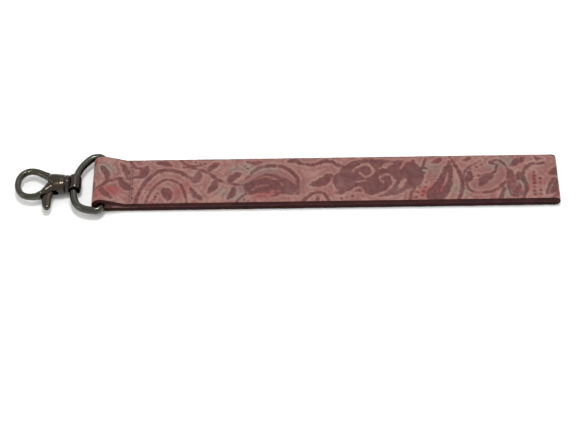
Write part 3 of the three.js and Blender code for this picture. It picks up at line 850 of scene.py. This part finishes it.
def skin(name, rings, closed=False):
    """Surface over rings of points, capped at both ends or joined into a loop."""
    rings = np.array(rings)
    count, sides = rings.shape[:2]
    faces = []
    for i in range(count if closed else count - 1):
        a, b = i * sides, ((i + 1) % count) * sides
        faces += [(a + j, a + (j + 1) % sides, b + (j + 1) % sides, b + j) for j in range(sides)]
    if not closed:
        faces.append(list(range(sides - 1, -1, -1)))
        faces.append(list(range((count - 1) * sides, count * sides)))
    return new_mesh(name, rings.reshape(-1, 3), faces, 1)


def flat_curve(points, count):
    """Centripetal curve through flat control points, as evenly spaced points."""
    p = np.array(points, float)
    p = np.vstack([2 * p[0] - p[1], p, 2 * p[-1] - p[-2]])
    fine = []
    for a, b, c, d in zip(p, p[1:], p[2:], p[3:]):
        t1 = np.linalg.norm(b - a) ** 0.5
        t2 = t1 + np.linalg.norm(c - b) ** 0.5
        t3 = t2 + np.linalg.norm(d - c) ** 0.5
        t = np.linspace(t1, t2, FINE_POINTS, endpoint=False)[:, None]
        ab = (a * (t1 - t) + b * t) / t1
        bc = (b * (t2 - t) + c * (t - t1)) / (t2 - t1)
        cd = (c * (t3 - t) + d * (t - t2)) / (t3 - t2)
        abc = (ab * (t2 - t) + bc * t) / t2
        bcd = (bc * (t3 - t) + cd * (t - t1)) / (t3 - t1)
        fine.append((abc * (t2 - t) + bcd * (t - t1)) / (t2 - t1))
    fine = np.vstack([*fine, p[-2:-1]])
    run = np.concatenate([[0], np.cumsum(np.linalg.norm(np.diff(fine, axis=0), axis=1))])
    even = np.linspace(0, run[-1], count + 1)
    return np.stack([np.interp(even, run, fine[:, i]) for i in (0, 1)], axis=-1)


def station(stations, t):
    """Value eased between evenly spaced stations from 0 to 1."""
    place = t * (len(stations) - 1)
    i = min(int(place), len(stations) - 2)
    f = place - i
    return stations[i] + (stations[i + 1] - stations[i]) * f * f * (3 - 2 * f)


def sweep(name, path, section_at, closed=False):
    """Section carried along a flat path."""
    count = len(path)
    rings = []
    for i, point in enumerate(path):
        before = path[(i - 1) % count] if closed else path[max(i - 1, 0)]
        after = path[(i + 1) % count] if closed else path[min(i + 1, count - 1)]
        along = (after - before) / np.linalg.norm(after - before)
        section = section_at(i / (count - 1))
        rings.append([(point[0] - along[1] * w, point[1] + along[0] * w, h) for w, h in section])
    return skin(name, rings, closed)


def lathe(name, profile, sides):
    """Closed profile of (radius, place along Y) turned round the Y axis."""
    rings = []
    for j in range(sides):
        a = 2 * math.pi * j / sides
        ring = []
        for r, height in profile:
            ring.append((r * math.cos(a), height, r * math.sin(a)))
        rings.append(ring)
    return skin(name, rings, True)


def rod(start, end, radius, sides=48):
    """Solid rod between two points."""
    start, end = Vector(start), Vector(end)
    turn = (end - start).to_track_quat("Z", "Y")
    rings = []
    for point in (start, end):
        ring = [(radius * math.cos(a), radius * math.sin(a), 0) for a in circle(sides)]
        rings.append([tuple(turn @ Vector(place) + point) for place in ring])
    return skin("rod", rings)


def prism(points, half_height):
    return skin("prism", [[(x, y, z) for x, y in points] for z in (-half_height, half_height)])


def carve(piece, operation, *tools):
    """Boolean of a piece with tools, which are used up."""
    for tool in tools:
        modifier = piece.modifiers.new("cut", "BOOLEAN")
        modifier.operation = operation
        modifier.solver = "EXACT"
        modifier.object = tool
        bake_modifiers(piece)
        bpy.data.objects.remove(tool)
    return piece


def bake_modifiers(piece):
    shaped = piece.evaluated_get(bpy.context.evaluated_depsgraph_get())
    mesh = bpy.data.meshes.new_from_object(shaped)
    piece.modifiers.clear()
    piece.data = mesh


def cast(piece, name, voxel):
    """One smooth skin over a built-up solid, with softened edges and blends, placed in metres."""
    remesh = piece.modifiers.new("skin", "REMESH")
    remesh.mode = "VOXEL"
    remesh.voxel_size = voxel
    soften = piece.modifiers.new("soften", "SMOOTH")
    soften.factor = 0.5
    soften.iterations = SOFTENING
    bake_modifiers(piece)
    return place_hardware(piece, name)


def place_hardware(piece, name):
    piece.data.transform(Matrix.Scale(MM, 4) @ Matrix.Translation((0, 0, MID_Z)))
    piece.name = name
    piece.data.name = name
    shade_smooth(piece)
    return piece


RING_HALF_WIDTH, RING_CORNER_R, RING_APEX_X, RING_FULLNESS = 15, 2.4, -95.35, 2.3
RING_LEAN, LEAN_START, LEAN_END = 0.12, 3, 10


def ring_path(fine):
    """Centre line of the D: a bar, two corners and a full arc that leans towards the near side."""
    arc_x, corner_y = BAR_X - RING_CORNER_R, RING_HALF_WIDTH - RING_CORNER_R
    half = [(BAR_X, corner_y * i / (6 * fine)) for i in range(6 * fine)]
    for a in np.linspace(0, math.pi / 2, 6 * fine)[:-1]:
        half.append((arc_x + RING_CORNER_R * math.cos(a), corner_y + RING_CORNER_R * math.sin(a)))
    power = 2 / RING_FULLNESS
    for a in np.linspace(0, math.pi / 2, 16 * fine):
        half.append((
            arc_x + (RING_APEX_X - arc_x) * math.sin(a) ** power,
            RING_HALF_WIDTH * max(math.cos(a), 0) ** power,
        ))
    line = np.array(half + [(x, -y) for x, y in half[-2:0:-1]])
    into_bow = np.clip((BAR_X - line[:, 0] - LEAN_START) / (LEAN_END - LEAN_START), 0, 1)
    line[:, 0] += RING_LEAN * into_bow ** 2 * (3 - 2 * into_bow) * line[:, 1]
    return line


def ring_wire():
    line = ring_path(5)
    weld_y, weld_height, weld_width = 4.5, 0.12, 0.5

    def section(t):
        x, y = line[round(t * (len(line) - 1))]
        on_bar = x > BAR_X - 0.1
        bead = weld_height * math.exp(-((y - weld_y) / weld_width) ** 2) if on_bar else 0.0
        return rounded(WIRE_R + bead, WIRE_R + bead, 2, 56)

    return place_hardware(sweep("ring_wire", line, section, True), "ring_wire")


def eye_casting():
    """Bail round the ring's wire, with its flange and the headed stem that the clasp turns on."""
    half_length, outer_r, hole_r, mouth_r = 3.8, 3.2, 2.15, 2.65
    bail = []
    for u in np.linspace(-1, 1, 33):
        bail.append((outer_r - 0.45 * abs(u) ** 5, u * half_length))
    for u in np.linspace(1, -1, 33):
        bail.append((hole_r + (mouth_r - hole_r) * u ** 4, u * half_length))
    stem = [
        (0.0, 2.3), (3.65, 2.3), (3.95, 2.42), (4.12, 2.65), (4.2, 2.95), (4.2, 3.85), (4.1, 4.1),
        (3.9, 4.25), (1.35, 4.25), (1.35, 6.15), (1.9, 6.15), (1.9, 6.7), (1.4, 7.15), (0.0, 7.15),
    ]
    body = lathe("eye", bail, 96)
    turned = solid_of_revolution("stem", [(r, -s) for r, s in stem], 80)
    carve(turned, "DIFFERENCE", rod((0, -8, 0), (0, 8, 0), 2.6, 64))
    carve(body, "UNION", turned)
    body.data.transform(Matrix.Translation((RING_APEX_X, 0, 0)))
    return cast(body, "eye_casting", 0.085)


def solid_of_revolution(name, profile, sides):
    """Solid turned about the X axis from (radius, place along X), starting and ending on the axis."""
    rings = []
    for r, x in profile:
        r = max(r, AXIS_R)
        rings.append([(x, r * math.cos(a), r * math.sin(a)) for a in circle(sides)])
    return skin(name, rings)


PIVOT = (-105.4, -1.2)
BARREL_LEFT, BARREL_LENGTH, BARREL_HALF_Y, BARREL_HALF_Z = -107.4, 7.65, 5.2, 3.75
ARM_LINE = [
    (-103.5, -0.9), (-106, -2.5), (-108.4, -4.75), (-110.8, -6.25), (-113.4, -6.95), (-116, -6.85),
    (-118.45, -5.85), (-120.1, -3.9), (-120.9, -1.5), (-121, 1), (-120.5, 3.5), (-119.2, 5.6),
    (-117.2, 6.95), (-114.8, 7.4), (-112.4, 6.85),
]
ARM_WIDTHS = [3.4, 2.95, 2.2, 1.6, 1.35, 1.3, 1.35, 1.4, 1.45, 1.5, 1.5, 1.5, 1.5, 1.5, 1.55]
ARM_HEIGHTS = [3.3, 3.3, 3.05, 2.5, 1.95, 1.7, 1.65]
GATE_LINE = [
    (-105.3, -0.4), (-105.6, 2.4), (-107.5, 4.25), (-110.2, 5.75), (-112.4, 6.85), (-114.8, 7.4),
    (-117.2, 6.95), (-119.2, 5.6),
]
GATE_WIDTHS = [1.3, 1.7, 1.85, 1.65, 1.55, 1.5, 1.5, 1.5]
TAB_LINE = [(-105.4, -1.6), (-106.6, -4.6), (-107.45, -8), (-107.3, -11), (-106.95, -14.1)]
TAB_WIDTHS = [1.9, 2.1, 2.25, 2.05, 1.6]
TAB_ROUNDING = 0.14
SLOT = [
    (-103.15, 12), (-110.6, 12), (-110.6, 1.3), (-107.85, -0.9), (-110.12, -6.6), (-110.12, -12),
    (-102.2, -12), (-102.55, -4.6), (-103.15, -1.2),
]
BARREL = [
    (0, 0.5), (0.25, 0.74), (0.7, 0.88), (1.4, 0.96), (2.4, 1), (3.8, 0.97), (5.2, 0.925), (6.45, 0.885),
    (7.25, 0.88), (BARREL_LENGTH, 0.83),
]
NOSE_R, NOSE_GAP = 14, 0.18
LEVER_HALF_Z, SLOT_HALF_Z = 1.4, 1.6
STEM_HOLE_R, HEAD_ROOM_R, SPRING_ROOM_R = 1.5, 2.15, 0.98
ROOM_LEFT, ROOM_RIGHT, COIL_END, COIL_Y = -103.4, -101.35, -101.45, -3.25


def post(radius, sides, half_height=10):
    """Upright rod on the gate's pivot."""
    x, y = PIVOT
    return rod((x, y, -half_height), (x, y, half_height), radius, sides)


def hook_casting():
    """Barrel and fixed arm in one, with the lever's slot and the holes in the barrel."""
    stations = np.array(BARREL)
    shoulder = 1.4
    rings = []
    for distance in np.concatenate([
        np.linspace(0, shoulder, 10)[:-1], np.linspace(shoulder, BARREL_LENGTH, 22),
    ]):
        size = np.interp(distance, stations[:, 0], stations[:, 1])
        section = rounded(BARREL_HALF_Y * size, BARREL_HALF_Z * min(1, size + 0.1), 2.3, 96)
        rings.append([(BARREL_LEFT + distance, w, h) for w, h in section])
    arm = sweep("hook", flat_curve(ARM_LINE, 150), lambda t: rounded(
        station(ARM_WIDTHS, t), station(ARM_HEIGHTS, min(2.2 * t, 1)), 2.2, 56,
    ))
    room = prism([(-119.4, 3), (-105.4, 3), (-105.4, 13), (-119.4, 13)], 10)
    sweep_room = carve(post(NOSE_R + NOSE_GAP, 240), "INTERSECT", room)
    carve(arm, "DIFFERENCE", sweep_room)
    carve(arm, "UNION", skin("barrel", rings))
    carve(
        arm, "DIFFERENCE", prism(SLOT, SLOT_HALF_Z), post(0.95, 48),
        rod((-102.4, 0, 0), (-98, 0, 0), STEM_HOLE_R),
        rod((ROOM_LEFT, 0, 0), (ROOM_RIGHT, 0, 0), HEAD_ROOM_R),
        rod((ROOM_LEFT, COIL_Y, 0), (ROOM_RIGHT, COIL_Y, 0), SPRING_ROOM_R),
    )
    return cast(arm, "hook_casting", 0.105)


def gate_casting():
    """Gate arm, hub and thumb tab in one lever."""
    def arm_section(t):
        return rounded(station(GATE_WIDTHS, t), LEVER_HALF_Z, 2.4, 48)

    def tab_section(t):
        into_tip = max((t - 1 + TAB_ROUNDING) / TAB_ROUNDING, 0)
        size = math.sqrt(max(1 - into_tip ** 2, 0.03))
        return rounded(station(TAB_WIDTHS, t) * size, LEVER_HALF_Z * math.sqrt(size), 2.6, 48)

    hub_r, hole_r = 2, 1
    arm = sweep("gate", flat_curve(GATE_LINE, 90), arm_section)
    carve(arm, "INTERSECT", post(NOSE_R, 240))
    tab = sweep("tab", flat_curve(TAB_LINE, 60), tab_section)
    carve(arm, "UNION", tab, post(hub_r, 72, LEVER_HALF_Z))
    carve(arm, "DIFFERENCE", post(hole_r, 48))
    return cast(arm, "gate_casting", 0.08)


def gate_rivet():
    half, dome, r = BARREL_HALF_Z - 0.05, 0.22, 0.85
    cap = [(r * math.cos(a), half + dome * math.sin(a)) for a in np.linspace(0, math.pi / 2, 10)]
    profile = [(x, -h) for x, h in reversed(cap)] + cap
    rings = []
    for x, height in profile:
        x = max(x, AXIS_R)
        rings.append([
            (PIVOT[0] + x * math.cos(a), PIVOT[1] + x * math.sin(a), height) for a in circle(48)
        ])
    return place_hardware(skin("gate_rivet", rings), "gate_rivet")


def gate_coil():
    turns, radius, wire = 4, 0.66, 0.17
    left, right = ROOM_LEFT + wire, COIL_END - wire
    count, sides = 200, 14
    along = np.array([1, 0, 0])
    rings = []
    for t in np.linspace(0, 1, count):
        # The end turns lie flat, as on a closed-end spring
        eased = t * t * (3 - 2 * t)
        x = left + (right - left) * (0.5 * t + 0.5 * eased)
        a = 2 * math.pi * turns * t
        out = np.array([0, math.cos(a), math.sin(a)])
        centre = np.array([x, COIL_Y, 0]) + radius * out
        rings.append([
            tuple(centre + wire * (math.cos(b) * out + math.sin(b) * along)) for b in circle(sides)
        ])
    return place_hardware(skin("gate_coil", rings), "gate_coil")


# ---- Assembly ----

def make_floor():
    size, cells, height = 3000, 24, -0.02
    width = cells + 1
    grid, faces = [], []
    for i in range(width):
        for j in range(width):
            grid.append((size * (i / cells - 0.5), size * (j / cells - 0.5), height))
    for i in range(cells):
        for j in range(cells):
            a = i * width + j
            faces.append((a, a + width, a + width + 1, a + 1))
    floor = new_mesh("floor", grid, faces)
    floor.data.materials.append(floor_material())


def make_strap():
    printed = fabric_print()
    coat = edge_coat()
    thread = thread_material()
    cover = finish_piece(strap_cover(), "strap", "printed_fabric", printed, "strap_face")
    columns, rounding = 25, 0.08
    core_profile = ply_profile(LINING_PLY, LINING_PLY + CORE_PLY, columns, rounding)
    core, _, _ = band_ring("strap_interfacing", core_profile, dips=1.45)
    lining, _, _ = band_ring("strap_lining_cloth", ply_profile(0, LINING_PLY, columns, rounding))
    pale = plain_cloth("felt_interfacing", linear(196, 184, 170), linear(222, 212, 200), 0.9)
    dull = plain_cloth("lining_cotton", linear(104, 66, 66), linear(140, 96, 94), 0.6)
    extra = [
        finish_piece(core, "strap", "interfacing", pale, "strap_core"),
        finish_piece(lining, "strap", "lining", dull, "strap_lining"),
    ]
    edges = (("edge_front", -1, "strap_edge_front"), ("edge_back", 1, "strap_edge_back"))
    for name, side, node in edges:
        edge, _, _ = band_ring(name, edge_profile(side), wander=0.03)
        extra.append(finish_piece(edge, "strap", "edge_coat", coat, node))
    extra.append(finish_piece(seam_tuck(), "strap", "printed_fabric", dull, "seam_allowance"))
    height = 2 * BAND + LAYER_GAP
    top_row = stitch_row("needle_stitches", height - 0.2, 0.08)
    low_row = stitch_row("bobbin_stitches", 0.33, -0.02)
    extra.append(finish_piece(top_row, "strap", "thread", thread, "needle_thread"))
    extra.append(finish_piece(low_row, "strap", "thread", thread, "bobbin_thread"))


def make_hardware():
    # The third colour of each plating is its painted reflection tint, standing in for brown surroundings
    # mirrored in the metal.
    ring_metal = plated_metal(
        "ring_plating", linear(44, 44, 38), linear(66, 65, 58), linear(66, 65, 58), 0.14, 0.24,
    )
    clasp_metal = plated_metal(
        "clasp_plating", linear(48, 47, 38), linear(66, 64, 52), linear(52, 39, 31), 0.16, 0.27,
    )
    spring_metal = plated_metal(
        "spring_steel", linear(96, 95, 94), linear(120, 118, 116), linear(110, 108, 106), 0.25, 0.36,
    )
    finish_piece(ring_wire(), "ring", "ring_metal", ring_metal, "d_ring")
    finish_piece(eye_casting(), "eye", "clasp_metal", clasp_metal, "swivel_eye")
    finish_piece(hook_casting(), "clasp", "clasp_metal", clasp_metal, "hook_body")
    finish_piece(gate_rivet(), "clasp", "clasp_metal", clasp_metal, "gate_pin")
    finish_piece(gate_casting(), "gate", "clasp_metal", clasp_metal, "gate_lever")
    coil = finish_piece(gate_coil(), "clasp", "spring_steel", spring_metal, "gate_spring")
    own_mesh(coil)


make_camera()
make_light()
make_floor()
make_hardware()
make_strap()
